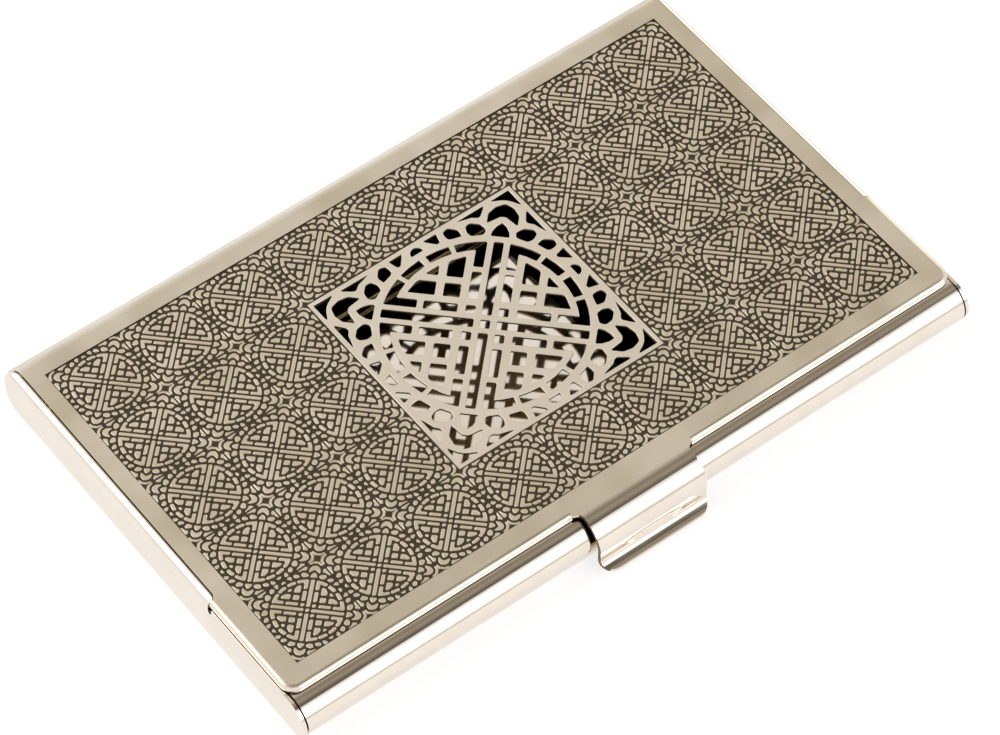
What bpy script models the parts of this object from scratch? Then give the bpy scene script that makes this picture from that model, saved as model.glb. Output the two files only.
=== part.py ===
"""Slim metal business card holder with a hinged, etched lid and a pierced centre panel.

The case lies flat on its tray. X runs along the hinge, Y from the thumb tab to the hinge, Z up.
The origin is on the resting surface, under the middle of the whole outline.
"""
import math

import bmesh
import bpy
from mathutils import Matrix

# Ornament on the lid, a field of square tiles with one large tile pierced through in its middle
tile_side = 0.0097
tiles_along = 9
tiles_across = 5
fret_tiles = 3

# Sheet metal and fits
sheet = 0.0004
fit_gap = 0.0003
seat_gap = 0.00005
weld_overlap = 0.0002

# Tray
case_height = 0.0069
wall_beyond_field = 0.00325
nose_beyond_field = 0.00565
spine_beyond_field = 0.0038
nose_radius = 0.003
spine_radius = 0.003
spine_top_radius = 0.0012
lip_run = 0.00065
foot_radius = 0.0006
rail_radius = 0.00095
rail_front_radius = 0.0008
rail_back_length = 0.0014
low_wall_height = 0.0046
low_wall_length = 0.0150
notch_radius = 0.0003
notch_depth = 0.0009

# Lid
lid_front_beyond_field = 0.00283
lid_ear_inset = 0.0002
lid_corner_radius = 0.0012
ear_edge_depth = 0.0019
front_edge_depth = 0.0007
inlay_thickness = 0.0003
inlay_sink = 0.0002
window_margin = 0.0005

# Thumb tab, pressed out of the lid sheet and carried down over the tray's rounded front
tab_width = 0.0151
tab_overlap = 0.0015
tab_relief = 0.0008
tab_gap = 0.0007
tab_bend_radius = 0.0036
tab_flick_radius = 0.0009
tab_lip_slope = 25.0
tab_drop = 0.0059
tab_lip_length = 0.0011
tab_corner_radius = 0.0012

# Hinge
hinge_drop = 0.0012
hinge_beyond_field = 0.00196
pin_radius = 0.0005
pin_end_inset = 0.0001
pin_hole_clearance = 0.0001
eye_wrap_angle = 255.0

# Spring wire under the cards, and the two clips that hold its feet
wire_radius = 0.0004
wire_half_span = 0.030
wire_reach = 0.0083
wire_foot_length = 0.006
wire_foot_from_field = 0.0015
wire_rise = 0.00045
wire_corner_radius = 0.0015
clip_width = 0.004
clip_foot = 0.0014
clip_clearance = 0.0001

# Heights and places that follow from the sizes above
cut_overrun = 0.001
outline_scale = 1000.0
arc_steps = 8

field_length = tiles_along * tile_side
field_depth = tiles_across * tile_side
fret_side = fret_tiles * tile_side
half_width = field_length / 2 + wall_beyond_field

tab_face = nose_beyond_field + tab_gap + sheet
lip_slope = math.radians(tab_lip_slope)
flick_out = tab_flick_radius * (1 - math.sin(lip_slope)) + tab_lip_length * math.cos(lip_slope)
total_depth = spine_beyond_field + field_depth + tab_face + flick_out
spine_back = total_depth / 2
field_back = spine_back - spine_beyond_field
field_front = field_back - field_depth
field_middle = (field_back + field_front) / 2
nose_front = field_front - nose_beyond_field
nose_centre = nose_front + nose_radius
spine_centre = spine_back - spine_radius

lid_top = case_height
lid_under = lid_top - sheet
lid_front = field_front - lid_front_beyond_field
ear_half_width = half_width - lid_ear_inset
narrow_half_width = half_width - rail_radius - fit_gap
wall_inside = half_width - sheet
rail_inside = half_width - rail_radius
floor_half_width = half_width - foot_radius
eye_half_width = wall_inside - fit_gap
low_wall_back = lid_front + low_wall_length
inlay_top = lid_top - inlay_sink
shelf_top = inlay_top - inlay_thickness - seat_gap
shelf_under = shelf_top - sheet
hinge_y = field_back + hinge_beyond_field
hinge_z = case_height - hinge_drop

wire_foot_y = field_back - wire_foot_from_field
wire_foot_z = sheet + clip_clearance + wire_radius


def start_scene():
    """Empty the scene and make one collection for the pieces and one for the shapes they are cut with."""
    for old in list(bpy.data.objects):
        bpy.data.objects.remove(old, do_unlink=True)
    made = []
    for name in ("business_card_holder", "cutters"):
        collection = bpy.data.collections.new(name)
        bpy.context.scene.collection.children.link(collection)
        made.append(collection)
    return made


pieces, cutters = start_scene()

# Planes that an outline is drawn in, as the world directions of its two axes and of its thickness
lying = Matrix.Identity(4)
across_x = Matrix(((0, 0, 1, 0), (1, 0, 0, 0), (0, 1, 0, 0), (0, 0, 0, 1)))
across_y = Matrix(((1, 0, 0, 0), (0, 0, -1, 0), (0, 1, 0, 0), (0, 0, 0, 1)))


def oval_arc(centre, radii, start, end, steps=arc_steps):
    """Points along an oval's edge, with its angles in degrees."""
    points = []
    for step in range(steps + 1):
        angle = math.radians(start + (end - start) * step / steps)
        points.append((centre[0] + radii[0] * math.cos(angle), centre[1] + radii[1] * math.sin(angle)))
    return points


def arc(centre, radius, start, end, steps=arc_steps):
    """Points along a circle's arc, with its angles in degrees."""
    return oval_arc(centre, (radius, radius), start, end, steps)


def mirrored(points):
    """The same points on the other side of the first axis, in reverse order."""
    return [(-x, y) for x, y in reversed(points)]


def rectangle(left, right, low, high):
    """The four corners of a rectangle."""
    return [(left, low), (right, low), (right, high), (left, high)]


def slab_mesh(name, outlines, plane, low, high):
    """A flat outline, with any holes in it, given thickness from low to high across its plane."""
    curve = bpy.data.curves.new(name, "CURVE")
    curve.dimensions = "2D"
    curve.fill_mode = "BOTH"
    curve.extrude = (high - low) / 2 * outline_scale
    for outline in outlines:
        spline = curve.splines.new("POLY")
        spline.points.add(len(outline) - 1)
        for point, (first, second) in zip(spline.points, outline):
            point.co = (first * outline_scale, second * outline_scale, 0, 1)
        spline.use_cyclic_u = True
    return curve_mesh(name, curve, plane @ Matrix.Translation((0, 0, (low + high) / 2)))


def curve_mesh(name, curve, placing):
    """Turn a curve drawn at millimetre scale into a closed mesh in metres."""
    guide = bpy.data.objects.new(name + "_guide", curve)
    cutters.objects.link(guide)
    bpy.context.view_layer.update()
    evaluated = guide.evaluated_get(bpy.context.evaluated_depsgraph_get())
    mesh = bpy.data.meshes.new_from_object(evaluated)
    bpy.data.objects.remove(guide, do_unlink=True)
    shape = bmesh.new()
    shape.from_mesh(mesh)
    bmesh.ops.remove_doubles(shape, verts=shape.verts, dist=seat_gap)
    bmesh.ops.transform(shape, matrix=Matrix.Scale(1 / outline_scale, 4), verts=shape.verts)
    bmesh.ops.transform(shape, matrix=placing, verts=shape.verts)
    bmesh.ops.recalc_face_normals(shape, faces=shape.faces)
    shape.to_mesh(mesh)
    shape.free()
    mesh.name = name
    return mesh


def rod_mesh(name, radius, half_length, y, z):
    """A round rod along X, as long on both sides of the middle."""
    shape = bmesh.new()
    bmesh.ops.create_cone(shape, cap_ends=True, segments=3 * arc_steps, radius1=radius, radius2=radius,
                          depth=2 * half_length)
    turn = Matrix.Translation((0, y, z)) @ Matrix.Rotation(math.pi / 2, 4, "Y")
    bmesh.ops.transform(shape, matrix=turn, verts=shape.verts)
    mesh = bpy.data.meshes.new(name)
    shape.to_mesh(mesh)
    shape.free()
    return mesh


def box_mesh(name, x_range, y_range, z_range):
    """A box between two corners."""
    shape = bmesh.new()
    bmesh.ops.create_cube(shape, size=1)
    sizes = [high - low for low, high in (x_range, y_range, z_range)]
    middle = [(high + low) / 2 for low, high in (x_range, y_range, z_range)]
    placing = Matrix.Translation(middle) @ Matrix.Diagonal((*sizes, 1))
    bmesh.ops.transform(shape, matrix=placing, verts=shape.verts)
    mesh = bpy.data.meshes.new(name)
    shape.to_mesh(mesh)
    shape.free()
    return mesh


def add_piece(name, mesh, finish):
    """Put a piece of the card holder in the scene with its own metal."""
    metal = bpy.data.materials.new(name + "_metal")
    metal.use_nodes = True
    shader = metal.node_tree.nodes["Principled BSDF"]
    shader.inputs["Base Color"].default_value = (*finish["colour"], 1)
    shader.inputs["Metallic"].default_value = 1
    shader.inputs["Roughness"].default_value = finish["roughness"]
    mesh.materials.append(metal)
    piece = bpy.data.objects.new(name, mesh)
    pieces.objects.link(piece)
    return piece


def set_origin(piece, y, z):
    """Move a piece's origin onto its joint's axis and leave its shape where it is."""
    piece.data.transform(Matrix.Translation((0, -y, -z)))
    piece.location = (0, y, z)


def hidden(mesh):
    """A shape that only joins or cuts other shapes."""
    tool = bpy.data.objects.new(mesh.name + "_shape", mesh)
    tool.hide_render = True
    tool.display_type = "WIRE"
    cutters.objects.link(tool)
    return tool


def shape_with(piece, tool, operation):
    """Join a hidden shape to a piece, or cut the piece with it."""
    change = piece.modifiers.new(tool.name, "BOOLEAN")
    change.operation = operation
    change.object = tool
    change.solver = "EXACT"


def band(outer, inner):
    """A closed outline of a bent sheet, from the points on its two faces."""
    return outer + list(reversed(inner))


polished_nickel = {"colour": (0.80, 0.77, 0.72), "roughness": 0.12}
satin_nickel = {"colour": (0.62, 0.58, 0.51), "roughness": 0.32}
etched_nickel = {"colour": (0.60, 0.55, 0.45), "roughness": 0.35}
spring_steel = {"colour": (0.55, 0.54, 0.53), "roughness": 0.30}


# Tray, one sheet with a rounded front, a rounded spine and two side walls rolled in as rails
def tray_channel():
    """Floor, rounded front with its lip, and spine in one run that ends short of the side walls."""
    nose = (nose_centre, nose_radius)
    spine = (spine_centre, spine_radius)
    outer = [(nose_centre + lip_run, 2 * nose_radius)] + arc(nose, nose_radius, 90, 270, 2 * arc_steps)
    outer += arc(spine, spine_radius, 270, 360) + [(spine_back, hinge_z)]
    inner = [(nose_centre + lip_run, 2 * nose_radius - sheet)]
    inner += arc(nose, nose_radius - sheet, 90, 270, 2 * arc_steps)
    inner += arc(spine, spine_radius - sheet, 270, 360) + [(spine_back - sheet, hinge_z)]
    return slab_mesh("tray_channel", [band(outer, inner)], across_x, -floor_half_width, floor_half_width)


def side_section(side):
    """Side wall in section: bent up from the floor at its foot and rolled in as a rail at its top."""
    outer = [(floor_half_width - weld_overlap, 0)]
    outer += arc((floor_half_width, foot_radius), foot_radius, 270, 360)
    outer += arc((rail_inside, case_height - rail_radius), rail_radius, 0, 90)
    inner = [(floor_half_width - weld_overlap, sheet)]
    inner += arc((floor_half_width, foot_radius), foot_radius - sheet, 270, 360)
    inner += arc((rail_inside, case_height - rail_radius), rail_radius - sheet, 0, 90)
    section = [(side * x, z) for x, z in band(outer, inner)]
    return slab_mesh("side_section", [section], across_y, -spine_back - cut_overrun, spine_back + cut_overrun)


def side_profile(side):
    """Side wall as seen from the side: low beside the lid's ears, a relief notch, then the rail."""
    notch = (low_wall_back - notch_radius, low_wall_height - notch_depth + notch_radius)
    low_angle = 180 - math.degrees(math.asin((low_wall_height - nose_radius) / nose_radius))
    outline = arc((nose_centre, nose_radius), nose_radius, 270, low_angle, 2 * arc_steps)
    outline += [(low_wall_back - 2 * notch_radius, low_wall_height)]
    outline += arc(notch, notch_radius, 180, 360)
    outline += [(low_wall_back, case_height + cut_overrun)]
    outline += [(spine_back - spine_top_radius, case_height + cut_overrun)]
    outline += arc((spine_back - spine_top_radius, case_height - spine_top_radius), spine_top_radius, 90, 0)
    outline += arc((spine_centre, spine_radius), spine_radius, 0, -90)
    near = floor_half_width - cut_overrun
    far = half_width + cut_overrun
    return slab_mesh("side_profile", [outline], across_x, *sorted((side * near, side * far)))


def rail_plan(side):
    """Upper part of the side wall from above: the rail is rounded off in front and beside the hinge."""
    roll_in = wall_inside - rail_inside
    rail_end = hinge_y - fit_gap
    outside = half_width + cut_overrun
    outline = [(outside, -spine_back - cut_overrun), (outside, spine_back + cut_overrun)]
    outline += [(wall_inside, spine_back + cut_overrun), (wall_inside, rail_end)]
    back_centre = (wall_inside, rail_end - rail_back_length)
    front_centre = (wall_inside, low_wall_back + rail_front_radius)
    outline += oval_arc(back_centre, (roll_in, rail_back_length), 90, 180)[1:]
    outline += oval_arc(front_centre, (roll_in, rail_front_radius), 180, 270)
    outline += [(wall_inside, -spine_back - cut_overrun)]
    return slab_mesh("rail_plan", [[(side * x, y) for x, y in outline]], lying, nose_radius,
                     case_height + cut_overrun)


def foot_plan(side):
    """Lower part of the side wall from above: its foot joins the floor between the two relief slits."""
    inside = floor_half_width - cut_overrun
    outside = half_width + cut_overrun
    foot_front = nose_centre + weld_overlap
    foot_back = spine_centre - weld_overlap
    outline = [(outside, -spine_back - cut_overrun), (outside, spine_back + cut_overrun)]
    outline += [(wall_inside, spine_back + cut_overrun), (wall_inside, foot_back)]
    outline += [(inside, foot_back), (inside, foot_front)]
    outline += [(wall_inside, foot_front), (wall_inside, -spine_back - cut_overrun)]
    return slab_mesh("foot_plan", [[(side * x, y) for x, y in outline]], lying, -cut_overrun,
                     nose_radius + weld_overlap)


def make_side(side):
    """One side wall with its rail, shaped by its section, its side view and its plan."""
    wall = hidden(side_section(side))
    shape_with(wall, hidden(side_profile(side)), "INTERSECT")
    plan = hidden(rail_plan(side))
    shape_with(plan, hidden(foot_plan(side)), "UNION")
    shape_with(wall, plan, "INTERSECT")
    return wall


def make_tray():
    """The lower half of the case, with a hole for the hinge pin in each side wall."""
    tray = add_piece("tray", tray_channel(), polished_nickel)
    for side in (1, -1):
        shape_with(tray, make_side(side), "UNION")
    hole_radius = pin_radius + pin_hole_clearance
    pin_hole = rod_mesh("pin_hole", hole_radius, half_width + cut_overrun, hinge_y, hinge_z)
    shape_with(tray, hidden(pin_hole), "DIFFERENCE")


# Lid, one sheet with a shallow tray for the inlay, a window, turned-down edges, hinge eye and tab
def lid_outline():
    """Edge of the lid from above, wide beside the hinge and at the front, narrow between the rails."""
    flare_back = hinge_y - 2 * fit_gap
    ear_back = low_wall_back - fit_gap
    narrowing = eye_half_width - narrow_half_width
    widening = ear_half_width - narrow_half_width
    right = [(eye_half_width, hinge_y - fit_gap)]
    back_centre = (eye_half_width, flare_back - rail_back_length)
    front_centre = (ear_half_width, ear_back + rail_front_radius)
    right += oval_arc(back_centre, (narrowing, rail_back_length), 90, 180)
    right += oval_arc(front_centre, (widening, rail_front_radius), 180, 270)
    corner = (ear_half_width - lid_corner_radius, lid_front + lid_corner_radius)
    right += arc(corner, lid_corner_radius, 0, -90)
    return right + mirrored(right)


def tab_profile():
    """Thumb tab in section: flat over the front, down past it, and flicked out at its lip."""
    face = field_front - tab_face
    bend = (face + tab_bend_radius, lid_top - tab_bend_radius)
    flick_centre = (face - tab_flick_radius, lid_top - tab_drop + tab_flick_radius)
    outer = [(lid_front + tab_overlap, lid_top)] + arc(bend, tab_bend_radius, 90, 180)
    inner = [(lid_front + tab_overlap, lid_under)] + arc(bend, tab_bend_radius - sheet, 90, 180)
    outer += arc(flick_centre, tab_flick_radius, 0, tab_lip_slope - 90)
    inner += arc(flick_centre, tab_flick_radius + sheet, 0, tab_lip_slope - 90)
    along = (-math.cos(lip_slope) * tab_lip_length, -math.sin(lip_slope) * tab_lip_length)
    outer.append((outer[-1][0] + along[0], outer[-1][1] + along[1]))
    inner.append((inner[-1][0] + along[0], inner[-1][1] + along[1]))
    return band(outer, inner)


def tab_mesh():
    """The tab's bent strip."""
    return slab_mesh("tab", [tab_profile()], across_x, -tab_width / 2, tab_width / 2)


def eye_mesh():
    """The lid's back edge, rolled round the hinge pin."""
    axis = (hinge_y, hinge_z)
    outer = [(hinge_y - fit_gap - weld_overlap, lid_top)]
    outer += arc(axis, hinge_drop, 90, 90 - eye_wrap_angle, 3 * arc_steps)
    inner = [(hinge_y - fit_gap - weld_overlap, lid_under)]
    inner += arc(axis, hinge_drop - sheet, 90, 90 - eye_wrap_angle, 3 * arc_steps)
    return slab_mesh("hinge_eye", [band(outer, inner)], across_x, -eye_half_width, eye_half_width)


def lid_edge(side):
    """Turned-down edge beside the tab: along the front, round the corner and along the ear."""
    corner = (ear_half_width - lid_corner_radius, lid_front + lid_corner_radius)
    relief = tab_width / 2 + tab_relief
    ear_back = low_wall_back - fit_gap
    outer = [(ear_half_width, ear_back)] + arc(corner, lid_corner_radius, 0, -90) + [(relief, lid_front)]
    inner = [(ear_half_width - sheet, ear_back)] + arc(corner, lid_corner_radius - sheet, 0, -90)
    inner += [(relief, lid_front + sheet)]
    outline = [(side * x, y) for x, y in band(outer, inner)]
    return slab_mesh("lid_edge", [outline], lying, lid_top - front_edge_depth, lid_top - sheet / 2)


def ear_edge(side):
    """The deeper straight edge of one ear, which hangs down over the tray's low wall."""
    x_range = sorted((side * (ear_half_width - sheet), side * ear_half_width))
    y_range = (lid_front + lid_corner_radius, low_wall_back - fit_gap)
    return box_mesh("ear_edge", x_range, y_range, (lid_top - ear_edge_depth, lid_top - sheet / 2))


def make_lid_shell():
    """The lid's bent sheet."""
    seat_x = field_length / 2 + seat_gap
    seat = rectangle(-seat_x, seat_x, field_front - seat_gap, field_back + seat_gap)
    frame = slab_mesh("lid_frame", [lid_outline(), seat], lying, lid_under, lid_top)
    lid = add_piece("lid_shell", frame, satin_nickel)
    shelf_x = field_length / 2 + sheet
    shelf = rectangle(-shelf_x, shelf_x, field_front - sheet, field_back + sheet)
    window_x = fret_side / 2 - window_margin
    window = rectangle(-window_x, window_x, field_middle - window_x, field_middle + window_x)
    shelf_mesh = slab_mesh("inlay_shelf", [shelf, window], lying, shelf_under, shelf_top)
    seat_wall_mesh = slab_mesh("seat_wall", [shelf, seat], lying, shelf_top - weld_overlap,
                               lid_under + weld_overlap)
    shape_with(lid, hidden(shelf_mesh), "UNION")
    shape_with(lid, hidden(seat_wall_mesh), "UNION")
    for side in (1, -1):
        shape_with(lid, hidden(lid_edge(side)), "UNION")
        shape_with(lid, hidden(ear_edge(side)), "UNION")
    shape_with(lid, hidden(tab_mesh()), "UNION")
    shape_with(lid, hidden(tab_corners()), "DIFFERENCE")
    shape_with(lid, hidden(eye_mesh()), "UNION")
    set_origin(lid, hinge_y, hinge_z)


def tab_corners():
    """Cutter that rounds the two outer corners of the tab's lip."""
    lip = -total_depth / 2
    corner_x = tab_width / 2 - tab_corner_radius
    corner_y = lip + tab_corner_radius
    far_x = tab_width / 2 + cut_overrun
    outline = arc((corner_x, corner_y), tab_corner_radius, 0, -90)
    outline += arc((-corner_x, corner_y), tab_corner_radius, 270, 180)
    outline += [(-far_x, corner_y), (-far_x, lip - cut_overrun)]
    outline += [(far_x, lip - cut_overrun), (far_x, corner_y)]
    return slab_mesh("tab_corners", [outline], lying, -cut_overrun, case_height)


# Ornament tile, as shares of the tile's side measured from its middle. Arms run to its corners.
slot_half_share = 0.018
row_one_shares = (0.0475, 0.083)
row_two_shares = (0.119, 0.181)
block_start_share = 0.218
bar_end_share = 0.25
elbow_start_share = 0.28
inner_round_share = 0.343
ring_shares = (0.371, 0.406)
elbow_turn = 25.0
dash_turns = (28.5, 42.6)
dome_shares = [(0.441, 0.035), (0.4625, 0.032), (0.49, 0.018), (0.507, 0)]
crescent_outer_shares = [(0.506, 0.06), (0.551, 0.06), (0.585, 0.037), (0.606, 0)]
crescent_inner_shares = [(0.542, 0.012), (0.512, 0.05)]
chevron_shares = [(0.61, 0.065), (0.6243, 0.0233), (0.6275, 0)]
chevron_tip_share = 0.675
bead_dome_shares = [(0.0275, 0.442), (0.021, 0.459), (0, 0.4725)]
bead_shares = [
    [(0.054, 0.475), (0.09, 0.433), (0.102, 0.433), (0.114, 0.475)],
    [(0.1375, 0.423), (0.19, 0.407), (0.196, 0.4375), (0.167, 0.471), (0.142, 0.4625)],
    [(0.221, 0.408), (0.223, 0.383), (0.267, 0.36), (0.2875, 0.375), (0.283, 0.408), (0.254, 0.4375),
     (0.233, 0.433)],
    [(0.217, 0.475), (0.2375, 0.4695), (0.279, 0.458), (0.304, 0.4375), (0.354, 0.475)],
]


def both_sides(points):
    """A cell that is the same on both sides of its arm, from the points on one side to its tip."""
    return points + [(along, -aside) for along, aside in reversed(points) if aside]


def on_round(radius, aside):
    """How far out a circle is reached at a distance aside from the arm."""
    return math.sqrt(radius * radius - aside * aside)


def arm_cells():
    """Cells on an arm and between two arms, once each."""
    near, far = row_one_shares
    low, high = row_two_shares
    ring_in, ring_out = ring_shares
    start = block_start_share
    slot_end = on_round(ring_out, slot_half_share)
    round_reach = on_round(inner_round_share, start)
    chevron = [(chevron_tip_share, 0)] + both_sides(chevron_shares)
    crescent = both_sides(crescent_outer_shares)
    crescent += [(along, -aside) for along, aside in reversed(crescent_inner_shares)]
    crescent += crescent_inner_shares
    return [
        rectangle(near, slot_end, -slot_half_share, slot_half_share),
        both_sides(dome_shares),
        crescent,
        chevron,
        rectangle(near, far, near, far),
        rectangle(low, high, low, high),
        [(start, start), (round_reach, start), (start, round_reach)],
    ]


def side_cells():
    """Cells beside an arm, which repeat on its other side."""
    near, far = row_one_shares
    low, high = row_two_shares
    ring_in, ring_out = ring_shares
    near_turn = math.degrees(math.asin(near / ring_out))
    far_turn = math.degrees(math.asin(far / ring_in))
    centre = (0, 0)
    elbow = [(elbow_start_share, near)] + arc(centre, ring_out, near_turn, elbow_turn, 3)
    elbow += arc(centre, ring_in, elbow_turn, far_turn, 2) + [(elbow_start_share, far)]
    dash = arc(centre, ring_out, *dash_turns, 2) + arc(centre, ring_in, *reversed(dash_turns), 2)
    block = [(block_start_share, low), (on_round(inner_round_share, low), low),
             (on_round(inner_round_share, high), high), (block_start_share, high)]
    return [rectangle(low, bar_end_share, near, far), elbow, dash, block]


def turned(points, angle):
    """Points turned about the middle of the tile."""
    cosine, sine = math.cos(angle), math.sin(angle)
    return [(x * cosine - y * sine, x * sine + y * cosine) for x, y in points]


def tile_cells():
    """Every cell of the tile: the ornament is alike on four arms and in each arm's mirror image."""
    middle = rectangle(-slot_half_share, slot_half_share, -slot_half_share, slot_half_share)
    cells = [turned(middle, math.pi / 4)]
    for quarter in range(4):
        straight = quarter * math.pi / 2
        diagonal = straight + math.pi / 4
        cells += [turned(cell, diagonal) for cell in arm_cells()]
        cells.append(turned(bead_dome_shares + mirrored(bead_dome_shares[:-1]), straight))
        for cell in side_cells():
            cells.append(turned(cell, diagonal))
            cells.append(turned([(x, -y) for x, y in cell], diagonal))
        for cell in bead_shares:
            cells.append(turned(cell, straight))
            cells.append(turned(mirrored(cell), straight))
    return cells


def make_etched_plate():
    """Inlay plate, pierced through in its middle; its etched pattern is too shallow to have a depth here."""
    half_length = field_length / 2
    outlines = [rectangle(-half_length, half_length, field_front, field_back)]
    for cell in tile_cells():
        outlines.append([(x * fret_side, field_middle + y * fret_side) for x, y in cell])
    mesh = slab_mesh("etched_plate", outlines, lying, inlay_top - inlay_thickness, inlay_top)
    plate = add_piece("etched_plate", mesh, etched_nickel)
    set_origin(plate, hinge_y, hinge_z)


# Hinge pin, a straight wire held in both side walls
def make_hinge_pin():
    """The wire that the lid turns on."""
    end = half_width - pin_end_inset
    pin_mesh = rod_mesh("hinge_pin", pin_radius, end, hinge_y, hinge_z)
    pin = add_piece("hinge_pin", pin_mesh, spring_steel)
    pin.data.shade_smooth()
    pin.data.set_sharp_from_angle(angle=math.radians(40))


# Card spring, a bent wire that lifts the cards off the floor
def wire_path():
    """Half of the wire's centre line from the end of its foot to the middle of its cross bar."""
    bar_y = wire_foot_y - wire_reach
    radius = wire_corner_radius
    foot_end = wire_half_span + wire_foot_length
    points = [(foot_end, wire_foot_y), (wire_half_span + radius, wire_foot_y)]
    points += arc((wire_half_span + radius, wire_foot_y - radius), radius, 90, 180, 6)[1:]
    points += arc((wire_half_span - radius, bar_y + radius), radius, 0, -90, 6)
    return points


def make_card_spring():
    """The spring wire."""
    curve = bpy.data.curves.new("card_spring", "CURVE")
    curve.dimensions = "3D"
    curve.bevel_depth = wire_radius * outline_scale
    curve.bevel_resolution = 2
    curve.use_fill_caps = True
    half = wire_path()
    path = half + mirrored(half)
    spline = curve.splines.new("POLY")
    spline.points.add(len(path) - 1)
    for point, (x, y) in zip(spline.points, path):
        lift = wire_foot_z + wire_rise * (wire_foot_y - y) / wire_reach
        point.co = (x * outline_scale, y * outline_scale, lift * outline_scale, 1)
    spring = add_piece("card_spring", curve_mesh("card_spring", curve, lying), spring_steel)
    spring.data.shade_smooth()
    set_origin(spring, wire_foot_y, wire_foot_z)


def make_spring_clip(name, side):
    """A small saddle, spot-welded to the floor over one foot of the spring."""
    inner_radius = wire_radius + clip_clearance
    outer_radius = inner_radius + sheet
    low = sheet + seat_gap
    high = low + sheet
    centre = (wire_foot_y, wire_foot_z)
    inner = [(wire_foot_y + outer_radius + clip_foot, low), (wire_foot_y + inner_radius, low)]
    inner += arc(centre, inner_radius, 0, 180)
    inner += [(wire_foot_y - inner_radius, low), (wire_foot_y - outer_radius - clip_foot, low)]
    outer = [(wire_foot_y + outer_radius + clip_foot, high), (wire_foot_y + outer_radius, high)]
    outer += arc(centre, outer_radius, 0, 180)[1:-1]
    outer += [(wire_foot_y - outer_radius, high), (wire_foot_y - outer_radius - clip_foot, high)]
    middle = side * (wire_half_span + (wire_corner_radius + wire_foot_length) / 2)
    ends = (middle - clip_width / 2, middle + clip_width / 2)
    add_piece(name, slab_mesh(name, [band(outer, inner)], across_x, *ends), spring_steel)


def build_card_holder():
    """Every piece of the closed card holder."""
    make_tray()
    make_lid_shell()
    make_etched_plate()
    make_hinge_pin()
    make_card_spring()
    make_spring_clip("spring_clip_left", -1)
    make_spring_clip("spring_clip_right", 1)


build_card_holder()
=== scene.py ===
"""Looks of the business card holder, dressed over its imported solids: metals, fine shapes and light.

Lengths are metres in the solids' frame: X along the hinge, Y from the thumb tab to the hinge, Z up.
"""
import math

import bmesh
import bpy
from mathutils import Matrix, Quaternion, Vector


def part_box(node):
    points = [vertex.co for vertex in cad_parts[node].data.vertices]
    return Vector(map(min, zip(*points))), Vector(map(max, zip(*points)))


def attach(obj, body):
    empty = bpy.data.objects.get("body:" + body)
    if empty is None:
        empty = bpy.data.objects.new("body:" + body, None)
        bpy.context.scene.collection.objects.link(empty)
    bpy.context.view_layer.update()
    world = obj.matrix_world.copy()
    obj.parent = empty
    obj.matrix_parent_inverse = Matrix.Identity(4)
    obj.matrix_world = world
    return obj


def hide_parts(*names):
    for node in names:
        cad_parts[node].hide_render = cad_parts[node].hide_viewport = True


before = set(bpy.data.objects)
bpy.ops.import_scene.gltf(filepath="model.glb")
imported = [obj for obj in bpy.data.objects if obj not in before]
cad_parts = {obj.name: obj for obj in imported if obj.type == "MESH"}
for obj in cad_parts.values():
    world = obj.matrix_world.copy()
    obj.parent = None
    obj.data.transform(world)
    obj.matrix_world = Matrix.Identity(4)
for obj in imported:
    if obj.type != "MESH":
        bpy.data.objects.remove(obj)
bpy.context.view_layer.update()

# Camera, floor and light
# The case lies on a plain white floor inside a ring of white diffusers, with a dark ceiling over the
# camera, as small polished goods are photographed, so the metal shows white bands edged with olive.
camera_target = Vector((-0.00232, -0.00366, 0.0067))
camera_distance = 0.50927
camera_azimuth = math.radians(-36.918)
camera_elevation = math.radians(53.158)
camera_roll = math.radians(-0.417)
camera_lens = 162.80
sensor_width = 36.0
nearest_seen = 0.01


def linear(colour):
    """A hex colour as it is seen on screen, turned into linear red, green, blue and a full alpha."""
    shares = [int(colour[place:place + 2], 16) / 255 for place in (1, 3, 5)]
    return (*[share / 12.92 if share <= 0.04045 else ((share + 0.055) / 1.055) ** 2.4 for share in shares], 1)


def add_node(tree, kind, inputs=(), **settings):
    """Add a node with its settings. Each input is a plain value or another node's output."""
    made = tree.nodes.new(kind)
    for name, value in settings.items():
        setattr(made, name, value)
    for key, value in dict(inputs).items():
        if isinstance(value, bpy.types.NodeSocket):
            tree.links.new(value, made.inputs[key])
        else:
            made.inputs[key].default_value = value
    return made


def set_stops(ramp, stops):
    """Give a colour ramp its stops, each a place and a hex colour."""
    elements = ramp.color_ramp.elements
    while len(elements) > 1:
        elements.remove(elements[-1])
    elements[0].position = stops[0][0]
    elements[0].color = linear(stops[0][1])
    for place, colour in stops[1:]:
        elements.new(place).color = linear(colour)
    return ramp.outputs["Color"]


def new_object(name, data):
    """A new object in the scene, from a mesh, curve, lamp or camera."""
    made = bpy.data.objects.new(name, data)
    bpy.context.scene.collection.objects.link(made)
    return made


def mesh_from(shape, name):
    """A mesh from a shape that was drawn in bmesh. The shape is freed."""
    mesh = bpy.data.meshes.new(name)
    shape.to_mesh(mesh)
    shape.free()
    return mesh


camera_data = bpy.data.cameras.new("camera")
camera_data.lens = camera_lens
camera_data.sensor_width = sensor_width
camera_data.clip_start = nearest_seen
towards_camera = Vector((math.sin(camera_azimuth) * math.cos(camera_elevation),
                         -math.cos(camera_azimuth) * math.cos(camera_elevation),
                         math.sin(camera_elevation)))
camera = new_object("camera", camera_data)
camera.location = camera_target + camera_distance * towards_camera
camera.rotation_mode = "QUATERNION"
camera.rotation_quaternion = (-towards_camera).to_track_quat("-Z", "Y") @ Quaternion((0, 0, 1), camera_roll)
bpy.context.scene.camera = camera
bpy.context.scene.view_settings.view_transform = "Standard"

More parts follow.
